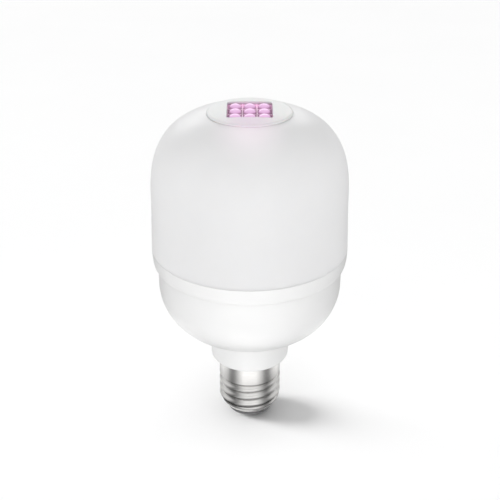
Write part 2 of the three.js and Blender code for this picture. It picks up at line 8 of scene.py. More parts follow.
import bmesh
import bpy
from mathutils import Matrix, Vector


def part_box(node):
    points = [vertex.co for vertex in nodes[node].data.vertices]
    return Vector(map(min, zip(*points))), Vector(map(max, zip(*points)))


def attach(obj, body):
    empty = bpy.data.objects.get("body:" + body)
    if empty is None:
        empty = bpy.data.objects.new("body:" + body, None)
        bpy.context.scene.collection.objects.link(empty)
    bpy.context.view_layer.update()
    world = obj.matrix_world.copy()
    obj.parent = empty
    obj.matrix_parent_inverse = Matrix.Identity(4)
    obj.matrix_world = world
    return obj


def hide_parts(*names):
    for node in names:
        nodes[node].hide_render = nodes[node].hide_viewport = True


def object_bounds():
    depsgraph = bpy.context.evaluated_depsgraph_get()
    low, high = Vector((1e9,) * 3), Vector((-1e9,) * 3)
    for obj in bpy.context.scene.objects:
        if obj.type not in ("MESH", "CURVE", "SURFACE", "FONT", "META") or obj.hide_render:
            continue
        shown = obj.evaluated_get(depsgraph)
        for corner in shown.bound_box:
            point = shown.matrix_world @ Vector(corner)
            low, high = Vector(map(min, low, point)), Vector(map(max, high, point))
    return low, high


MM = 0.001
TAU = 2 * math.pi

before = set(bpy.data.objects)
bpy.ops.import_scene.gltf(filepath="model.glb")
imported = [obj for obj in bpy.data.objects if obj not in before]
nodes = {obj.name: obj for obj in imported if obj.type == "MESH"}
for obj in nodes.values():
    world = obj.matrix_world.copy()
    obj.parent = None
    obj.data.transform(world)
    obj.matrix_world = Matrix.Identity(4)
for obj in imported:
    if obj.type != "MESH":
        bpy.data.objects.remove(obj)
cad_low, cad_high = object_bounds()

# ---------------------------------------------------------------- camera and stage sizes
CAMERA_DISTANCE = 324  # horizontal distance from the bulb's axis
CAMERA_HEIGHT = 245.5
AIM_HEIGHT = 77.4
CAMERA_LENS = 65.13  # on a 36 mm sensor
CAMERA_SHIFT = 0.0005  # the bulb stands a hair left of the picture's centre
FLOOR_SIZE = 6000
STUDIO_MIDDLE = (0, 0, 75)  # what most lights are aimed at
WORLD_TONES = ((0, 0.85), (0.15, 0.555), (0.6, 0.555), (1, 0.8))  # sine of the elevation, tone
FLOOR_LIGHT_BRIGHTNESS = 0.45
FLOOR_LIGHT_ELEVATION = 15  # degrees above the horizon
FLOOR_LIGHT_ANGLE = 25  # degrees that its disc takes up in the sky
FLOOR_LIGHT_TURN = 14  # degrees that it shines towards the front
SCREEN_LIFT = 0.05  # how far the reflected screen lies above the floor
SCREEN_PROFILE = (  # radius and height, from the cap out to the top of its wall
    (12, SCREEN_LIFT), (50, SCREEN_LIFT), (100, SCREEN_LIFT),
    (140, 15), (165, 50), (175, 110), (170, 170),
)
SCREEN_TONES = (  # degrees round from the front (-Y), tone
    (0, 1.42), (21, 1.42), (35, 0.95), (49, 0.42), (59, 0.27),
    (68, 0.38), (84, 0.92), (108, 1.3), (150, 0.95),
)
SCREEN_REACH = 250  # distance at the end of the fade's ramp
# the screen's dim part next to the contact is a painted reflection of the floor's shade under the cap
SCREEN_FADE = (  # distance from the contact, brightness
    (20, 0.03), (50, 1), (70, 1), (105, 0.38), (150, 0.48), (200, 0.75),
)

# ---------------------------------------------------------------- shape of the bulb
ROUND_STEPS = 192  # steps round the large pieces
SMALL_STEPS = 96
CORNER_STEPS = 5  # steps in a rounded corner
ARC_SHARE = 0.45  # the most of a side that the arc of one corner takes
MERGE_DISTANCE = 1e-7  # metres
POLE_RADIUS = 0.001  # a loop this small is as good as a pole

THREAD_PITCH = 25.4 / 7
THREAD_DEPTH = 1.05
THREAD_CREST_Z = 17.8  # height of one crest at angle 0
THREAD_TOP = 19.2
THREAD_RUNOUT = 1.0
BAND_RADIUS = 12.9
SHELL_WALL = 0.45
MOUTH_RADIUS = 10.5
MOUTH_SLOPE = 0.7
MOUTH_BLEND = 0.25  # softness of the corner between thread and mouth
INSULATOR_FACE_RADIUS = 7.4
CONTACT_SHANK_RADIUS = 1.4

NECK_RADIUS = 16.4
NECK_BOTTOM = 28.8
SPIGOT_RADIUS = 12.05
SPIGOT_WALL = 1.6
BOWL_WALL_RADIUS = 37.0
BOWL_TOP = 64.7
BOWL_REACH = 21.8
BOWL_DEPTH = 22.0
BOWL_BLEND = 1.0  # softness of the inner corner between bowl and neck
BOWL_EASE = 0.05  # takes the bowl in again by about what the blend adds
HOUSING_WALL = 2.0
UPSTAND_RADIUS = 36.2
UPSTAND_WALL = 1.7
UPSTAND_FOOT = 70.3

GAP = 0.3
SEAM = 0.02  # what is left open between the visible skins
TRIM_BOTTOM_RADIUS = 38.3
DOME_RADIUS = 38.5
DOME_START = 99.2
DOME_HEIGHT = 36.9
DOME_POWER = 3.0
DIFFUSER_WALL = 1.6
CROWN_HOLE_RADIUS = 15.2
SKIRT_OUTER = 34.1
SKIRT_INNER = 32.4

CAP_APEX = 137.15
CAP_RIM_BOTTOM = 135.65
CAP_RIM_TOP = 136.05
CAP_FOOT = 135.26  # where the rounded rim ends, just above the diffuser
CAP_EDGE = 1.3  # how far the rim rounds out
CAP_SKIRT_RADIUS = 14.8
CAP_SKIRT_WALL = 1.2
WINDOW_WIDTH = 17.0
WINDOW_LENGTH = 18.0
WINDOW_POWER = 18  # exponent that rounds the window's corners
WINDOW_LIP = 0.35  # rounding of the window's edge
TRAY_WALL = 0.6
BAR_HALF_THICKNESS = 0.25
BAR_HEIGHT = 0.9
BAR_BEVEL = 0.12
LED_BASE_HEIGHT = 0.62
LED_BASE_POWER = 8
LED_GLOW_FOOT = 0.7  # height in an LED where its glow starts
GLOW_HEIGHT = 135  # where the window's light falls on the crown, tray and diffuser


def span(node):
    """Lowest and highest corner of a CAD node, in millimetres."""
    low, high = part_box(node)
    return low / MM, high / MM


# ---------------------------------------------------------------- mesh helpers
def steps(start, end, count):
    """Evenly spaced values from start to end, both included."""
    return [start + (end - start) * i / count for i in range(count + 1)]


def smooth_step(value, low, high):
    t = min(1, max(0, (value - low) / (high - low)))
    return t * t * (3 - 2 * t)


def soft_max(a, b, softness):
    return 0.5 * (a + b + math.hypot(a - b, softness))


def rounded(corners, closed=True):
    """An outline with its corners turned into arcs. A corner is (radius, z) or (radius, z, fillet)."""
    outline = []
    count = len(corners)
    for i, corner in enumerate(corners):
        here = Vector(corner[:2])
        fillet = corner[2] if len(corner) == 3 else 0
        inside = closed or 0 < i < count - 1
        if not fillet or not inside:
            outline.append(tuple(here))
            continue
        before = Vector(corners[i - 1][:2]) - here
        after = Vector(corners[(i + 1) % count][:2]) - here
        half = before.angle(after) / 2
        reach = min(fillet / math.tan(half), ARC_SHARE * before.length, ARC_SHARE * after.length)
        radius = reach * math.tan(half)
        middle = (before.normalized() + after.normalized()).normalized()
        centre = here + middle * (radius / math.sin(half))
        first = here + before.normalized() * reach - centre
        last = here + after.normalized() * reach - centre
        turn = first.angle_signed(last)
        for t in steps(0, 1, CORNER_STEPS):
            angle = -turn * t
            x = first.x * math.cos(angle) - first.y * math.sin(angle)
            y = first.x * math.sin(angle) + first.y * math.cos(angle)
            outline.append((centre.x + x, centre.y + y))
    return outline


def circle(radius, z, count):
    return [
        (radius * math.cos(TAU * i / count), radius * math.sin(TAU * i / count), z)
        for i in range(count)
    ]


def superellipse(half_x, half_y, power, z, count):
    """A closed loop between an ellipse, at power 2, and a rectangle, at a high power."""
    loop = []
    for i in range(count):
        c = math.cos(TAU * i / count)
        s = math.sin(TAU * i / count)
        reach = (abs(c / half_x) ** power + abs(s / half_y) ** power) ** (-1 / power)
        loop.append((reach * c, reach * s, z))
    return loop


def loft(name, loops, closed=True, second_material=None):
    """A mesh through loops of equal length, in millimetres. A loop whose points meet becomes a pole.

    second_material is a range of bands, between one loop and the next, that take material slot 2.
    """
    count = len(loops[0])
    mesh = bpy.data.meshes.new(name)
    points = [Vector(p) * MM for loop in loops for p in loop]
    faces = []
    bands = len(loops) if closed else len(loops) - 1
    for j in range(bands):
        low = j * count
        high = ((j + 1) % len(loops)) * count
        for i in range(count):
            k = (i + 1) % count
            faces.append((low + i, low + k, high + k, high + i))
    mesh.from_pydata(points, [], faces)
    if second_material:
        for index, polygon in enumerate(mesh.polygons):
            polygon.material_index = int(index // count in second_material)
    tidy = bmesh.new()
    tidy.from_mesh(mesh)
    bmesh.ops.remove_doubles(tidy, verts=tidy.verts, dist=MERGE_DISTANCE)
    bmesh.ops.dissolve_degenerate(tidy, edges=tidy.edges, dist=MERGE_DISTANCE / 10)
    bmesh.ops.recalc_face_normals(tidy, faces=tidy.faces)
    tidy.to_mesh(mesh)
    tidy.free()
    mesh.shade_smooth()
    piece = bpy.data.objects.new(name, mesh)
    bpy.context.scene.collection.objects.link(piece)
    weighted = piece.modifiers.new("even shading", "WEIGHTED_NORMAL")
    weighted.keep_sharp = True
    return piece


def revolve(name, outline, count=ROUND_STEPS):
    """A solid of revolution. The outline closes on itself, or starts and ends on the axis."""
    on_axis = outline[0][0] == 0 and outline[-1][0] == 0
    return loft(name, [circle(r, z, count) for r, z in outline], closed=not on_axis)


def bevelled_box(name, low, high, bevel):
    """A box with rounded edges between two corners, in millimetres."""
    mesh = bpy.data.meshes.new(name)
    tidy = bmesh.new()
    bmesh.ops.create_cube(tidy, size=1)
    size = Vector(high) - Vector(low)
    middle = (Vector(high) + Vector(low)) / 2
    for vertex in tidy.verts:
        vertex.co = (Vector(a * b for a, b in zip(vertex.co, size)) + middle) * MM
    bmesh.ops.bevel(tidy, geom=tidy.edges, offset=bevel * MM, segments=3, profile=0.5, affect="EDGES")
    tidy.to_mesh(mesh)
    tidy.free()
    mesh.shade_smooth()
    piece = bpy.data.objects.new(name, mesh)
    bpy.context.scene.collection.objects.link(piece)
    return piece


def join(first, *others):
    with bpy.context.temp_override(
        active_object=first, selected_editable_objects=[first, *others]
    ):
        bpy.ops.object.join()
    return first


def finish_piece(piece, slot, *materials, stands_for=None):
    """Gives a piece its materials and its place in the frame."""
    for material in materials:
        piece.data.materials.append(material)
    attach(piece, "root")
    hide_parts(*(stands_for or [piece.name.removesuffix("_skin")]))
    return piece


# ---------------------------------------------------------------- material helpers
def start_material(name, **sockets):
    """A material with plain values for some of its shader's sockets, named with _ for a space."""
    material = bpy.data.materials.new(name)
    material.use_nodes = True
    shader = material.node_tree.nodes["Principled BSDF"]
    for socket, value in sockets.items():
        shader.inputs[socket.replace("_", " ")].default_value = value
    return material, material.node_tree, shader


def noise(tree, scale, detail=3, stretch=(1, 1, 1)):
    """Noise in object space, with the scale in features per metre."""
    place = tree.nodes.new("ShaderNodeTexCoord")
    mapping = tree.nodes.new("ShaderNodeMapping")
    mapping.inputs["Scale"].default_value = stretch
    texture = tree.nodes.new("ShaderNodeTexNoise")
    texture.inputs["Scale"].default_value = scale
    texture.inputs["Detail"].default_value = detail
    tree.links.new(place.outputs["Object"], mapping.inputs["Vector"])
    tree.links.new(mapping.outputs["Vector"], texture.inputs["Vector"])
    return texture.outputs["Fac"]


def grey_ramp(tree, field, stops):
    """A colour ramp of greys. A stop is (position, tone), in rising order."""
    ramp = tree.nodes.new("ShaderNodeValToRGB")
    for position, _ in stops[1:-1]:
        ramp.color_ramp.elements.new(position)
    for element, (position, tone) in zip(ramp.color_ramp.elements, stops):
        element.position = position
        element.color = (tone, tone, tone, 1)
    tree.links.new(field, ramp.inputs["Fac"])
    return ramp.outputs["Color"]


def vary_tone(tree, shader, field, dark, light):
    """Lets the base colour wander between two close tones."""
    ramp = tree.nodes.new("ShaderNodeValToRGB")
    ramp.color_ramp.elements[0].position = 0.3
    ramp.color_ramp.elements[0].color = (*dark, 1)
    ramp.color_ramp.elements[1].position = 0.7
    ramp.color_ramp.elements[1].color = (*light, 1)
    tree.links.new(field, ramp.inputs["Fac"])
    tree.links.new(ramp.outputs["Color"], shader.inputs["Base Color"])


def vary_roughness(tree, shader, field, low, high):
    spread = tree.nodes.new("ShaderNodeMapRange")
    spread.inputs["From Min"].default_value = 0.3
    spread.inputs["From Max"].default_value = 0.7
    spread.inputs["To Min"].default_value = low
    spread.inputs["To Max"].default_value = high
    tree.links.new(field, spread.inputs["Value"])
    tree.links.new(spread.outputs["Result"], shader.inputs["Roughness"])


def add_bump(tree, shader, field, strength, depth):
    """Fine relief, with its depth in millimetres."""
    bump = tree.nodes.new("ShaderNodeBump")
    bump.inputs["Strength"].default_value = strength
    bump.inputs["Distance"].default_value = depth * MM
    tree.links.new(field, bump.inputs["Height"])
    tree.links.new(bump.outputs["Normal"], shader.inputs["Normal"])


def nearness(tree, place, reach, stretch=(1, 1, 1), strength=1):
    """A field that falls softly from strength at a place to nothing at a distance, both in millimetres."""
    coordinates = tree.nodes.new("ShaderNodeTexCoord")
    mapping = tree.nodes.new("ShaderNodeMapping")
    mapping.inputs["Location"].default_value = [-p * s * MM for p, s in zip(place, stretch)]
    mapping.inputs["Scale"].default_value = stretch
    distance = tree.nodes.new("ShaderNodeVectorMath")
    distance.operation = "LENGTH"
    fade = tree.nodes.new("ShaderNodeMapRange")
    fade.interpolation_type = "SMOOTHSTEP"
    fade.inputs["From Max"].default_value = reach * MM
    fade.inputs["To Min"].default_value = strength
    fade.inputs["To Max"].default_value = 0
    tree.links.new(coordinates.outputs["Object"], mapping.inputs["Vector"])
    tree.links.new(mapping.outputs["Vector"], distance.inputs[0])
    tree.links.new(distance.outputs["Value"], fade.inputs["Value"])
    return fade.outputs["Result"]


def glow(tree, shader, color, field):
    """Paints light of one colour onto a surface that is no lamp, as a glow where a field is strong."""
    shader.inputs["Emission Color"].default_value = (*color, 1)
    tree.links.new(field, shader.inputs["Emission Strength"])


def paint_light_tint(tree, shader, field, tint):
    """Mixes a tint of painted light into the base colour where a field is strong."""
    mix = tree.nodes.new("ShaderNodeMix")
    mix.data_type = "RGBA"
    plain, tinted, result = mix.inputs[6], mix.inputs[7], mix.outputs[2]
    tinted.default_value = (*tint, 1)
    tree.links.new(field, mix.inputs["Factor"])
    tree.links.new(shader.inputs["Base Color"].links[0].from_socket, plain)
    tree.links.new(result, shader.inputs["Base Color"])


# ---------------------------------------------------------------- materials
def milky_diffuser():
    material, tree, shader = start_material(
        "milky diffuser",
        Subsurface_Weight=0.4,
        Subsurface_Scale=0.004,
        Subsurface_Radius=(1.0, 0.95, 0.9),
        IOR=1.5,
    )
    vary_tone(tree, shader, noise(tree, 40), (0.798, 0.794, 0.796), (0.812, 0.808, 0.81))
    # painted light: the diffuser glows pink just in front of the cap, standing in for the window's light
    # falling there
    painted_window_glow = nearness(tree, (0, -17, GLOW_HEIGHT), 20, stretch=(1.2, 1, 1), strength=0.19)
    glow(tree, shader, (1, 0.68, 0.88), painted_window_glow)
    vary_roughness(tree, shader, noise(tree, 180), 0.34, 0.4)
    add_bump(tree, shader, noise(tree, 5000, 2), 0.12, 0.02)
    return material


def white_gloss():
    material, tree, shader = start_material("white gloss plastic", IOR=1.5)
    vary_tone(tree, shader, noise(tree, 60), (0.653, 0.653, 0.653), (0.667, 0.667, 0.665))
    vary_roughness(tree, shader, noise(tree, 250), 0.33, 0.39)
    add_bump(tree, shader, noise(tree, 900, 2), 0.05, 0.02)
    return material


def satin_crown():
    material, tree, shader = start_material("satin crown", Subsurface_Weight=0.1, Subsurface_Scale=0.001)
    vary_tone(tree, shader, noise(tree, 120), (0.77, 0.782, 0.775), (0.79, 0.8, 0.792))
    # painted light: a pink tint on the crown's front lip stands in for the window's light falling on it
    painted_lip_light = nearness(tree, (0, -11, CAP_RIM_TOP), 14)
    paint_light_tint(tree, shader, painted_lip_light, (0.82, 0.7, 0.8))
    # painted light: the crown's inner back edge glows pink, standing in for the window's light on it
    back_edge = (0, WINDOW_LENGTH / 2, GLOW_HEIGHT)
    painted_back_glow = nearness(tree, back_edge, 4, stretch=(0.4, 2, 2), strength=0.4)
    glow(tree, shader, (1, 0.75, 0.9), painted_back_glow)
    vary_roughness(tree, shader, noise(tree, 400), 0.38, 0.47)
    add_bump(tree, shader, noise(tree, 4500, 2), 0.12, 0.02)
    return material


def nickel_plate():
    material, tree, shader = start_material("bright nickel", Metallic=1.0)
    around = noise(tree, 260, 4, (1, 1, 12))
    vary_tone(tree, shader, noise(tree, 90), (0.76, 0.75, 0.735), (0.83, 0.82, 0.805))
    vary_roughness(tree, shader, around, 0.16, 0.26)
    add_bump(tree, shader, around, 0.1, 0.02)
    return material


def tinned_contact():
    material, tree, shader = start_material("tinned contact", Metallic=1.0)
    vary_tone(tree, shader, noise(tree, 500), (0.62, 0.61, 0.59), (0.76, 0.75, 0.73))
    vary_roughness(tree, shader, noise(tree, 900), 0.28, 0.45)
    add_bump(tree, shader, noise(tree, 700, 4), 0.25, 0.05)
    return material


def grey_insulator():
    material, tree, shader = start_material("grey glass", IOR=1.55)
    vary_tone(tree, shader, noise(tree, 300), (0.11, 0.11, 0.114), (0.155, 0.153, 0.158))
    vary_roughness(tree, shader, noise(tree, 600), 0.08, 0.2)
    add_bump(tree, shader, noise(tree, 250), 0.2, 0.08)
    return material


def plum_reflector():
    material, tree, shader = start_material("plum reflector")
    vary_tone(tree, shader, noise(tree, 600), (0.65, 0.41, 0.56), (0.75, 0.49, 0.66))
    vary_roughness(tree, shader, noise(tree, 900), 0.34, 0.48)
    # painted light: the tray's back wall glows pink, standing in for the LEDs' light falling on it
    back_wall = (0, WINDOW_LENGTH / 2 - 0.5, GLOW_HEIGHT)
    painted_back_glow = nearness(tree, back_wall, 8, stretch=(0.6, 1, 0.6), strength=0.5)
    glow(tree, shader, (1, 0.55, 0.85), painted_back_glow)
    add_bump(tree, shader, noise(tree, 4000, 2), 0.15, 0.02)
    return material


def violet_lens():
    """A dome that glows pink, its glow painted pale at its top as a highlight and deeper towards its foot as
    shade.
    """
    material, tree, shader = start_material(
        "violet lens", Base_Color=(0.5, 0.3, 0.45, 1), IOR=1.5, Emission_Strength=1.0
    )
    low, high = span("window_led_1_1")
    place = tree.nodes.new("ShaderNodeTexCoord")
    split = tree.nodes.new("ShaderNodeSeparateXYZ")
    rise = tree.nodes.new("ShaderNodeMapRange")
    rise.inputs["From Min"].default_value = (low.z + LED_GLOW_FOOT) * MM
    rise.inputs["From Max"].default_value = high.z * MM
    # painted shading of the glow: a dark foot stands in for shade, a pale top for a highlight
    ramp = tree.nodes.new("ShaderNodeValToRGB")
    ramp.color_ramp.elements[0].position = 0.05
    ramp.color_ramp.elements[0].color = (0.12, 0.05, 0.1, 1)
    ramp.color_ramp.elements[1].position = 0.97
    ramp.color_ramp.elements[1].color = (0.46, 0.31, 0.46, 1)
    middle = ramp.color_ramp.elements.new(0.5)
    middle.color = (0.37, 0.23, 0.37, 1)
    tree.links.new(place.outputs["Object"], split.inputs["Vector"])
    tree.links.new(split.outputs["Z"], rise.inputs["Value"])
    tree.links.new(rise.outputs["Result"], ramp.inputs["Fac"])
    tree.links.new(ramp.outputs["Color"], shader.inputs["Emission Color"])
    vary_roughness(tree, shader, noise(tree, 900), 0.17, 0.24)
    return material


def led_package():
    material, tree, shader = start_material("led package")
    vary_tone(tree, shader, noise(tree, 800), (0.34, 0.16, 0.28), (0.45, 0.23, 0.38))
    vary_roughness(tree, shader, noise(tree, 900), 0.35, 0.5)
    return material


def plain_finish(name, color, roughness, metallic=0.0, spread=0.12, scale=400):
    """A material for a hidden part, with a little colour drift, uneven gloss and a fine grain."""
    material, tree, shader = start_material(name, Metallic=metallic)
    dark = [c * (1 - spread) for c in color]
    light = [min(1, c * (1 + spread)) for c in color]
    vary_tone(tree, shader, noise(tree, scale), dark, light)
    vary_roughness(tree, shader, noise(tree, 2 * scale), roughness * 0.85, roughness * 1.2)
    add_bump(tree, shader, noise(tree, 4 * scale, 2), 0.15, 0.03)
    return material


# ---------------------------------------------------------------- screw cap
def thread_radius(angle, z, low_z, crest_radius):
    """Outer radius of the rolled shell: a right-hand thread between a plain band and a tapered mouth."""
    turns = (z - THREAD_CREST_Z) / THREAD_PITCH - angle / TAU
    wave = 0.5 + 0.5 * math.cos(TAU * turns)
    threaded = crest_radius - THREAD_DEPTH * (1 - wave)
    plain = smooth_step(z, THREAD_TOP - THREAD_RUNOUT, THREAD_TOP + THREAD_RUNOUT)
    radius = threaded + (BAND_RADIUS - threaded) * plain
    cone = MOUTH_RADIUS + MOUTH_SLOPE * (z - low_z)
    return -soft_max(-radius, -cone, MOUTH_BLEND)


def screw_shell():
    low, high = span("screw_shell")
    thread_end = THREAD_TOP + THREAD_RUNOUT
    band_start = thread_end + 1
    heights = steps(low.z, thread_end, 96) + steps(band_start, high.z, 6)
    loops = []
    for inset, order in ((0, heights), (SHELL_WALL, heights[::-1])):
        for z in order:
            loop = []
            for i in range(ROUND_STEPS):
                angle = TAU * i / ROUND_STEPS
                radius = thread_radius(angle, z, low.z, high.x) - inset
                loop.append((radius * math.cos(angle), radius * math.sin(angle), z))
            loops.append(loop)
    return finish_piece(loft("screw_shell_skin", loops), "nickel_shell", nickel_plate())


def base_insulator():
    low, high = span("base_insulator")
    bore = CONTACT_SHANK_RADIUS + GAP
    bulge = high.x - INSULATOR_FACE_RADIUS
    chamfer = 1
    face = []
    for t in steps(0, 1, 12):
        angle = t * math.pi / 2
        rise = bulge * (1 - math.cos(angle))
        face.append((INSULATOR_FACE_RADIUS + bulge * math.sin(angle), low.z + rise))
    outline = rounded([
        (bore, low.z),
        *face,
        (high.x, high.z - chamfer, 0.3),
        (high.x - chamfer, high.z, 0.3),
        (bore, high.z),
    ])
    piece = revolve("base_insulator_skin", outline, SMALL_STEPS)
    return finish_piece(piece, "insulator_glass", grey_insulator())


def centre_contact():
    low, high = span("centre_contact")
    flange_top = span("base_insulator")[0].z - GAP
    shank = CONTACT_SHANK_RADIUS
    outline = rounded(
        [
            (0, low.z),
            (high.x - 1.2, low.z, 0.5),
            (high.x, flange_top * 0.6, 0.2),
            (high.x, flange_top, 0.1),
            (shank, flange_top, 0.2),
            (shank, high.z, 0.3),
            (0, high.z),
        ],
        closed=False,
    )
    piece = revolve("centre_contact_skin", outline, SMALL_STEPS)
    return finish_piece(piece, "contact_metal", tinned_contact())


# ---------------------------------------------------------------- housing and trim ring
def bowl_outline(inset, count):
    """The bowl from its foot in the neck up to its rim: a quarter of an ellipse, eased into the neck."""
    middle = BOWL_WALL_RADIUS - BOWL_REACH
    points = []
    for angle in steps(0, math.pi / 2, count):
        bowl = middle + (BOWL_REACH - inset) * math.sin(angle)
        radius = soft_max(bowl, NECK_RADIUS - inset, BOWL_BLEND) - BOWL_EASE
        points.append((radius, BOWL_TOP - (BOWL_DEPTH - inset) * math.cos(angle)))
    return points


def housing(material):
    low, high = span("housing")
    trim_low, _ = span("trim_ring")
    shoulder = trim_low.z - SEAM
    foot = BOWL_TOP - BOWL_DEPTH
    neck_top = foot - 1.4
    bore = NECK_RADIUS - HOUSING_WALL
    spigot_bore = SPIGOT_RADIUS - SPIGOT_WALL
    upstand_bore = UPSTAND_RADIUS - UPSTAND_WALL
    outline = rounded([
        (spigot_bore, low.z, 0.2),
        (SPIGOT_RADIUS, low.z, 0.3),
        (SPIGOT_RADIUS, NECK_BOTTOM, 0.2),
        (NECK_RADIUS - 0.2, NECK_BOTTOM, 1.2),
        (NECK_RADIUS, neck_top, 1.5),
        *bowl_outline(0, 60),
        (BOWL_WALL_RADIUS, shoulder, 0.1),
        (UPSTAND_RADIUS, shoulder, 0.1),
        (UPSTAND_RADIUS, high.z, 0.3),
        (upstand_bore, high.z, 0.3),
        (upstand_bore, UPSTAND_FOOT),
        *bowl_outline(HOUSING_WALL, 40)[::-1],
        (bore, foot + 0.5, 0.3),
        (bore, NECK_BOTTOM + HOUSING_WALL, 0.5),
        (spigot_bore, NECK_BOTTOM + HOUSING_WALL, 0.3),
    ])
    return finish_piece(revolve("housing_skin", outline), "housing_white", material)


def trim_ring(material):
    low, high = span("trim_ring")
    bore = UPSTAND_RADIUS + GAP
    face = []
    for t in steps(0, 1, 20):
        angle = t * math.pi / 2
        radius = TRIM_BOTTOM_RADIUS + (high.x - TRIM_BOTTOM_RADIUS) * math.sin(angle)
        face.append((radius, high.z - (high.z - low.z) * math.cos(angle)))
    face[0] = (*face[0], 0.6)
    face[-1] = (*face[-1], 0.05)
    outline = rounded([(bore, low.z, 0.1), *face, (bore, high.z, 0.1)])
    return finish_piece(revolve("trim_ring_skin", outline), "trim_white", material)


# ---------------------------------------------------------------- diffuser
def dome_outline(inset, count):
    """The superelliptical dome from its start up to the crown hole."""
    power = 2 / DOME_POWER
    radius = DOME_RADIUS - inset
    end = math.acos((CROWN_HOLE_RADIUS / radius) ** (1 / power))
    points = []
    for t in steps(0, 1, count):
        angle = end * t
        height = (DOME_HEIGHT - inset) * math.sin(angle) ** power
        points.append((radius * math.cos(angle) ** power, DOME_START + height))
    return points


def diffuser():
    low, high = span("diffuser")
    _, trim_high = span("trim_ring")
    seam = trim_high.z + SEAM
    ledge = seam + DIFFUSER_WALL
    outer = dome_outline(0, 90)
    inner = dome_outline(DIFFUSER_WALL, 60)
    outline = rounded([
        (SKIRT_INNER, low.z, 0.3),
        (SKIRT_OUTER, low.z, 0.3),
        (SKIRT_OUTER, seam, 0.1),
        (high.x, seam, 0.05),
        *outer,
        *inner[::-1],
        (high.x - DIFFUSER_WALL, ledge, 0.5),
        (SKIRT_INNER, ledge, 0.5),
    ])
    return finish_piece(revolve("diffuser_skin", outline), "milky_diffuser", milky_diffuser())


# ---------------------------------------------------------------- crown cap and window module
def crown_height(radius, rim_radius):
    return CAP_APEX - (CAP_APEX - CAP_RIM_TOP) * (radius / rim_radius) ** 2


def cap_window(count, grow=0.0, z=0.0):
    """The window's outline, grown outward by a little where its edge is rounded."""
    return superellipse(WINDOW_WIDTH / 2 + grow, WINDOW_LENGTH / 2 + grow, WINDOW_POWER, z, count)


def cap_top(count, outer):
    """Loops from the foot of the window's wall over its rounded edge and across the crown to the rim."""

    def on_crown(loop):
        return [(x, y, crown_height(math.hypot(x, y), outer)) for x, y, _ in loop]

    loops = [cap_window(count, z=CAP_RIM_BOTTOM)]
    rise = on_crown(cap_window(count))
    for t in steps(0, 1, 5):
        angle = t * math.pi / 2
        rounding = cap_window(count, WINDOW_LIP * (1 - math.cos(angle)))
        drop = WINDOW_LIP * (1 - math.sin(angle))
        loops.append([(x, y, r[2] - drop) for (x, y, _), r in zip(rounding, rise)])
    edge = cap_window(count, WINDOW_LIP)
    rim = circle(outer - CAP_EDGE, 0, count)
    for t in steps(0.02, 1, 14):
        loops.append(on_crown([Vector(a).lerp(Vector(b), t) for a, b in zip(edge, rim)]))
    return loops


def cap_rim(count, outer):
    """Loops round the cap's rounded rim and under it."""
    rim_radius = outer - CAP_EDGE
    rim_top = crown_height(rim_radius, outer)
    ease = 0.1
    depth = rim_top - CAP_FOOT - ease
    loops = []
    for t in steps(0.08, 1, 9):
        angle = t * math.pi / 2
        radius = rim_radius + CAP_EDGE * math.sin(angle)
        loops.append(circle(radius, rim_top - depth * (1 - math.cos(angle)), count))
    loops.append(circle(outer - ease, CAP_FOOT, count))
    return loops


def cap_skirt(count, bottom):
    """Loops down the outside of the skirt and up its bore."""
    bore = CAP_SKIRT_RADIUS - CAP_SKIRT_WALL
    ease = 0.2
    chamfer = 0.3
    outline = (
        (CAP_SKIRT_RADIUS + 3 * ease, CAP_FOOT + 0.12),
        (CAP_SKIRT_RADIUS + ease, CAP_RIM_BOTTOM),
        (CAP_SKIRT_RADIUS, CAP_RIM_BOTTOM - ease),
        (CAP_SKIRT_RADIUS, bottom + chamfer),
        (CAP_SKIRT_RADIUS - chamfer, bottom),
        (bore + ease, bottom),
        (bore, bottom + ease),
        (bore, CAP_RIM_BOTTOM - ease),
        (bore - ease, CAP_RIM_BOTTOM),
    )
    return [circle(radius, z, count) for radius, z in outline]


def crown_cap():
    low, high = span("crown_cap")
    count = 2 * ROUND_STEPS
    loops = cap_top(count, high.x) + cap_rim(count, high.x) + cap_skirt(count, low.z)
    finish_piece(loft("crown_cap_skin", loops), "crown_white", satin_crown())


def tray_frame(low, high):
    """The tray's rounded square frame."""
    ease = 0.15
    outline = (
        (ease, low.z),
        (0, low.z + ease),
        (0, high.z - ease),
        (ease, high.z),
        (TRAY_WALL - ease, high.z),
        (TRAY_WALL, high.z - ease),
        (TRAY_WALL, low.z + ease),
        (TRAY_WALL - ease, low.z),
    )
    loops = [
        superellipse(high.x - inset, high.y - inset, WINDOW_POWER, z, ROUND_STEPS) for inset, z in outline
    ]
    return loft("led_tray_skin", loops)


def led_tray(material):
    low, high = span("led_tray")
    led_low, _ = span("window_led_2_2")
    frame_piece = tray_frame(low, high)
    pitch_x = span("window_led_1_2")[0].x - span("window_led_1_1")[0].x
    pitch_y = span("window_led_2_1")[0].y - span("window_led_1_1")[0].y
    reach_x = high.x - TRAY_WALL / 2
    reach_y = high.y - TRAY_WALL / 2
    bars = []
    for side in (-0.5, 0.5):
        for place, reach in (
            ((side * pitch_x, 0), (BAR_HALF_THICKNESS, reach_y)),
            ((0, side * pitch_y), (reach_x, BAR_HALF_THICKNESS)),
        ):
            bottom = (place[0] - reach[0], place[1] - reach[1], led_low.z)
            top = (place[0] + reach[0], place[1] + reach[1], led_low.z + BAR_HEIGHT)
            bars.append(bevelled_box("bar", bottom, top, BAR_BEVEL))
    join(frame_piece, *bars)
    finish_piece(frame_piece, "tray_plum", material)


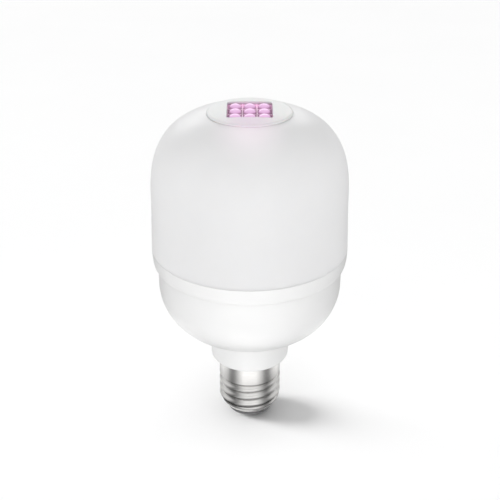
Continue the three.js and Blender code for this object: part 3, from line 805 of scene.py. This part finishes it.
def window_led(name, package, lens):
    """An LED: a square package that turns into a round collar, with a flattened dome on it."""
    low, high = span(name)
    middle = (low + high) / 2
    half = (high.x - low.x) / 2
    base_top = low.z + LED_BASE_HEIGHT
    ease = 0.1
    shape = [  # half width, power of the outline, height
        (POLE_RADIUS, LED_BASE_POWER, low.z),
        (half - ease, LED_BASE_POWER, low.z),
        (half, LED_BASE_POWER, low.z + ease),
        (half, LED_BASE_POWER, base_top - ease),
        (half - ease, LED_BASE_POWER, base_top),
        (half, 2, base_top),
    ]
    package_bands = len(shape) - 1
    for t in steps(0, 1, 12):
        angle = t * math.pi / 2
        reach = max(POLE_RADIUS, (half - ease / 2) * math.cos(angle))
        shape.append((reach, 2, base_top + (high.z - base_top) * math.sin(angle)))
    loops = [
        [(x + middle.x, y + middle.y, z) for x, y, z in superellipse(r, r, power, z, SMALL_STEPS)]
        for r, power, z in shape
    ]
    bands = range(package_bands, len(loops))
    piece = loft(name + "_skin", loops, closed=False, second_material=bands)
    finish_piece(piece, "violet_lens", package, lens)


def window_leds(package, lens):
    for row in (1, 2, 3):
        for column in (1, 2, 3):
            window_led(f"window_led_{row}_{column}", package, lens)


# ---------------------------------------------------------------- hidden parts
def paint(material, *names):
    """Gives carried-over CAD nodes a procedural material."""
    for name in names:
        nodes[name].data.materials.clear()
        nodes[name].data.materials.append(material)


def paint_hidden_parts():
    board_white = plain_finish("white solder mask", (0.82, 0.81, 0.77), 0.45, spread=0.04)
    board_green = plain_finish("green solder mask", (0.03, 0.16, 0.07), 0.35)
    black_epoxy = plain_finish("black epoxy", (0.025, 0.025, 0.027), 0.45)
    copper = plain_finish("copper", (0.72, 0.36, 0.2), 0.3, metallic=1.0)
    sleeve = plain_finish("capacitor sleeve", (0.03, 0.06, 0.2), 0.3)
    black_wire = plain_finish("black insulation", (0.03, 0.03, 0.03), 0.4)
    red_wire = plain_finish("red insulation", (0.5, 0.04, 0.03), 0.4)
    zinc = plain_finish("zinc plated steel", (0.62, 0.62, 0.61), 0.3, metallic=1.0)
    paint(board_white, "window_board", "light_board")
    paint(board_green, "driver_board", "wireless_board")
    paint(black_epoxy, "bridge_rectifier", "driver_chip", "module_header")
    paint(copper, "line_inductor", "live_lead")
    paint(sleeve, "input_capacitor", "output_capacitor")
    paint(black_wire, "neutral_lead", "lamp_lead_black", "window_lead_black")
    paint(red_wire, "lamp_lead_red", "window_lead_red")
    paint(zinc, "radio_shield", *[f"board_screw_{i}" for i in (1, 2, 3)])
    paint(plain_finish("stamped aluminium", (0.7, 0.71, 0.72), 0.35, metallic=1.0), "heat_sink")
    paint(plain_finish("winding tape", (0.62, 0.45, 0.06), 0.4), "transformer")
    paint(plain_finish("resistor coating", (0.22, 0.25, 0.3), 0.5), "fuse_resistor")
    paint(plain_finish("post plastic", (0.8, 0.8, 0.79), 0.4, spread=0.03), "inner_post")
    phosphor = plain_finish("phosphor", (0.82, 0.62, 0.16), 0.4)
    paint(phosphor, *[f"white_led_{i}" for i in range(1, 13)])


# ---------------------------------------------------------------- stage
def make_camera():
    data = bpy.data.cameras.new("camera")
    data.lens = CAMERA_LENS
    data.shift_x = CAMERA_SHIFT
    data.clip_start = 0.01
    data.clip_end = 100
    camera = bpy.data.objects.new("camera", data)
    camera.location = Vector((0, -CAMERA_DISTANCE, CAMERA_HEIGHT)) * MM
    aim = Vector((0, 0, AIM_HEIGHT)) * MM
    camera.rotation_euler = (aim - camera.location).to_track_quat("-Z", "Y").to_euler()
    bpy.context.scene.collection.objects.link(camera)
    bpy.context.scene.camera = camera


def make_floor():
    half = FLOOR_SIZE / 2 * MM
    mesh = bpy.data.meshes.new("floor")
    corners = [(-half, -half, 0), (half, -half, 0), (half, half, 0), (-half, half, 0)]
    mesh.from_pydata(corners, [], [(0, 1, 2, 3)])
    floor = bpy.data.objects.new("floor", mesh)
    floor.location.z = cad_low.z
    material, tree, shader = start_material("white floor", Roughness=0.6)
    vary_tone(tree, shader, noise(tree, 8), (0.925, 0.925, 0.925), (0.935, 0.935, 0.935))
    mesh.materials.append(material)
    bpy.context.scene.collection.objects.link(floor)
    return floor


def area_light(name, place, size, brightness, aim=STUDIO_MIDDLE):
    """A soft rectangular light, in millimetres. Brightness is what it adds to a white face at its aim."""
    data = bpy.data.lights.new(name, "AREA")
    data.shape = "RECTANGLE"
    data.size = size[0] * MM
    data.size_y = size[1] * MM
    light = bpy.data.objects.new(name, data)
    light.location = Vector(place) * MM
    way = Vector(aim) * MM - light.location
    data.energy = brightness * math.pi**2 * way.length_squared
    light.rotation_euler = way.to_track_quat("-Z", "Y").to_euler()
    light.visible_camera = False
    bpy.context.scene.collection.objects.link(light)
    return light


def make_world():
    """A white room, brighter at the horizon and straight overhead than between."""
    world = bpy.data.worlds.new("studio")
    world.use_nodes = True
    tree = world.node_tree
    background = tree.nodes["Background"]
    place = tree.nodes.new("ShaderNodeTexCoord")
    split = tree.nodes.new("ShaderNodeSeparateXYZ")
    tree.links.new(place.outputs["Generated"], split.inputs["Vector"])
    tree.links.new(grey_ramp(tree, split.outputs["Z"], WORLD_TONES), background.inputs["Color"])
    background.inputs["Strength"].default_value = 1.0
    bpy.context.scene.world = world


def group(name, *pieces):
    """A collection of the pieces that a light reaches or spares, or that shade it."""
    collection = bpy.data.collections.new(name)
    for piece in pieces:
        collection.objects.link(piece)
    return collection


def only_seen_by(piece, *rays):
    """Hides a stage piece from every kind of ray but those named."""
    for kind in ("camera", "diffuse", "glossy", "transmission", "volume_scatter", "shadow"):
        setattr(piece, "visible_" + kind, kind in rays)


def keep_to(light, *pieces):
    """Lights nothing but some pieces."""
    light.light_linking.receiver_collection = group("lit by the " + light.name, *pieces)


def keep_off(light, *pieces):
    """Lights everything but some pieces."""
    spared = group(light.name + " spares", *pieces)
    for link in spared.collection_objects:
        link.light_linking.link_state = "EXCLUDE"
    light.light_linking.receiver_collection = spared


def floor_light(floor, shading):
    """A wide low sun from the left for the floor, so that the cap's soft shadow runs to the right."""
    data = bpy.data.lights.new("floor light", "SUN")
    elevation = math.radians(FLOOR_LIGHT_ELEVATION)
    data.energy = FLOOR_LIGHT_BRIGHTNESS * math.pi / math.sin(elevation)
    data.angle = math.radians(FLOOR_LIGHT_ANGLE)
    light = bpy.data.objects.new("floor light", data)
    turn = math.radians(FLOOR_LIGHT_TURN)
    way = Vector((math.cos(turn), -math.sin(turn), -math.tan(elevation)))
    light.rotation_euler = way.to_track_quat("-Z", "Y").to_euler()
    bpy.context.scene.collection.objects.link(light)
    keep_to(light, floor)
    light.light_linking.blocker_collection = group("shading the floor light", *shading)


def bearing_share(tree, place):
    """The bearing from the bulb's axis as a share of half a turn: 0 in front (-Y), 1 behind."""
    split = tree.nodes.new("ShaderNodeSeparateXYZ")
    bearing = tree.nodes.new("ShaderNodeMath")
    bearing.operation = "ARCTAN2"
    turn = tree.nodes.new("ShaderNodeMath")
    turn.operation = "ABSOLUTE"
    share = tree.nodes.new("ShaderNodeMapRange")
    share.inputs["From Max"].default_value = math.pi
    share.inputs["To Min"].default_value = 1
    share.inputs["To Max"].default_value = 0
    tree.links.new(place, split.inputs["Vector"])
    tree.links.new(split.outputs["X"], bearing.inputs[0])
    tree.links.new(split.outputs["Y"], bearing.inputs[1])
    tree.links.new(bearing.outputs["Value"], turn.inputs[0])
    tree.links.new(turn.outputs["Value"], share.inputs["Value"])
    return share.outputs["Result"]


def distance_share(tree, place, reach):
    """The distance from the contact as a share of a reach in millimetres."""
    distance = tree.nodes.new("ShaderNodeVectorMath")
    distance.operation = "LENGTH"
    share = tree.nodes.new("ShaderNodeMath")
    share.operation = "DIVIDE"
    share.inputs[1].default_value = reach * MM
    tree.links.new(place, distance.inputs[0])
    tree.links.new(distance.outputs["Value"], share.inputs[0])
    return share.outputs["Value"]


def screen_glow():
    """A glow whose tone follows the bearing. It is dim next to the contact, as a painted reflection of the
    floor's shade there, and again further out.
    """
    material = bpy.data.materials.new("reflected screen")
    material.use_nodes = True
    tree = material.node_tree
    tree.nodes.remove(tree.nodes["Principled BSDF"])
    place = tree.nodes.new("ShaderNodeTexCoord").outputs["Object"]
    tones = [(math.radians(degrees) / math.pi, tone) for degrees, tone in SCREEN_TONES]
    fades = [(distance / SCREEN_REACH, share) for distance, share in SCREEN_FADE]
    emission = tree.nodes.new("ShaderNodeEmission")
    tree.links.new(grey_ramp(tree, bearing_share(tree, place), tones), emission.inputs["Color"])
    fade = grey_ramp(tree, distance_share(tree, place, SCREEN_REACH), fades)
    tree.links.new(fade, emission.inputs["Strength"])
    tree.links.new(emission.outputs["Emission"], tree.nodes["Material Output"].inputs["Surface"])
    return material


def reflected_screen():
    """A bowl round the bulb that only reflections see, in place of photographers' cards.

    It is white in front, dark about 60 degrees to either side and light again behind.
    """
    loops = [circle(radius, z, SMALL_STEPS) for radius, z in SCREEN_PROFILE]
    screen = loft("reflected screen", loops, closed=False)
    screen.data.materials.append(screen_glow())
    only_seen_by(screen, "glossy")


def light_studio(floor, shading, housing_pieces, shell):
    """Softboxes in front, above and behind, fills for single pieces, the floor's light and the screen."""
    front = area_light("low front softbox", place=(0, -900, 60), size=(400, 200), brightness=0.14)
    above = area_light("upper front softbox", place=(0, -650, 690), size=(450, 500), brightness=0.23)
    rear = area_light("rear softbox", place=(-120, 860, 400), size=(900, 400), brightness=0.31)
    front.visible_glossy = False
    above.visible_glossy = False
    keep_off(front, floor)
    keep_off(above, floor)
    keep_off(rear, floor, *housing_pieces)
    fill = area_light("housing fill", (-60, -898, 40), size=(400, 160), brightness=0.5, aim=(0, 0, 55))
    keep_to(fill, *housing_pieces)
    for side, name in ((-1, "left side fill"), (1, "right side fill")):
        edge = area_light(name, place=(800 * side, -250, 30), size=(500, 300), brightness=0.1)
        keep_to(edge, shell)
    floor_light(floor, shading)
    reflected_screen()


def set_view():
    settings = bpy.context.scene.view_settings
    settings.view_transform = "Standard"
    settings.look = "None"
    settings.exposure = 0.0
    settings.gamma = 1.0


# ---------------------------------------------------------------- build
make_camera()
make_world()
set_view()

gloss = white_gloss()
cap_pieces = [screw_shell(), base_insulator(), centre_contact()]
housing_pieces = [housing(gloss), trim_ring(gloss)]
shell = diffuser()
crown_cap()
led_tray(plum_reflector())
window_leds(led_package(), violet_lens())
paint_hidden_parts()
light_studio(make_floor(), cap_pieces[1:], housing_pieces, shell)
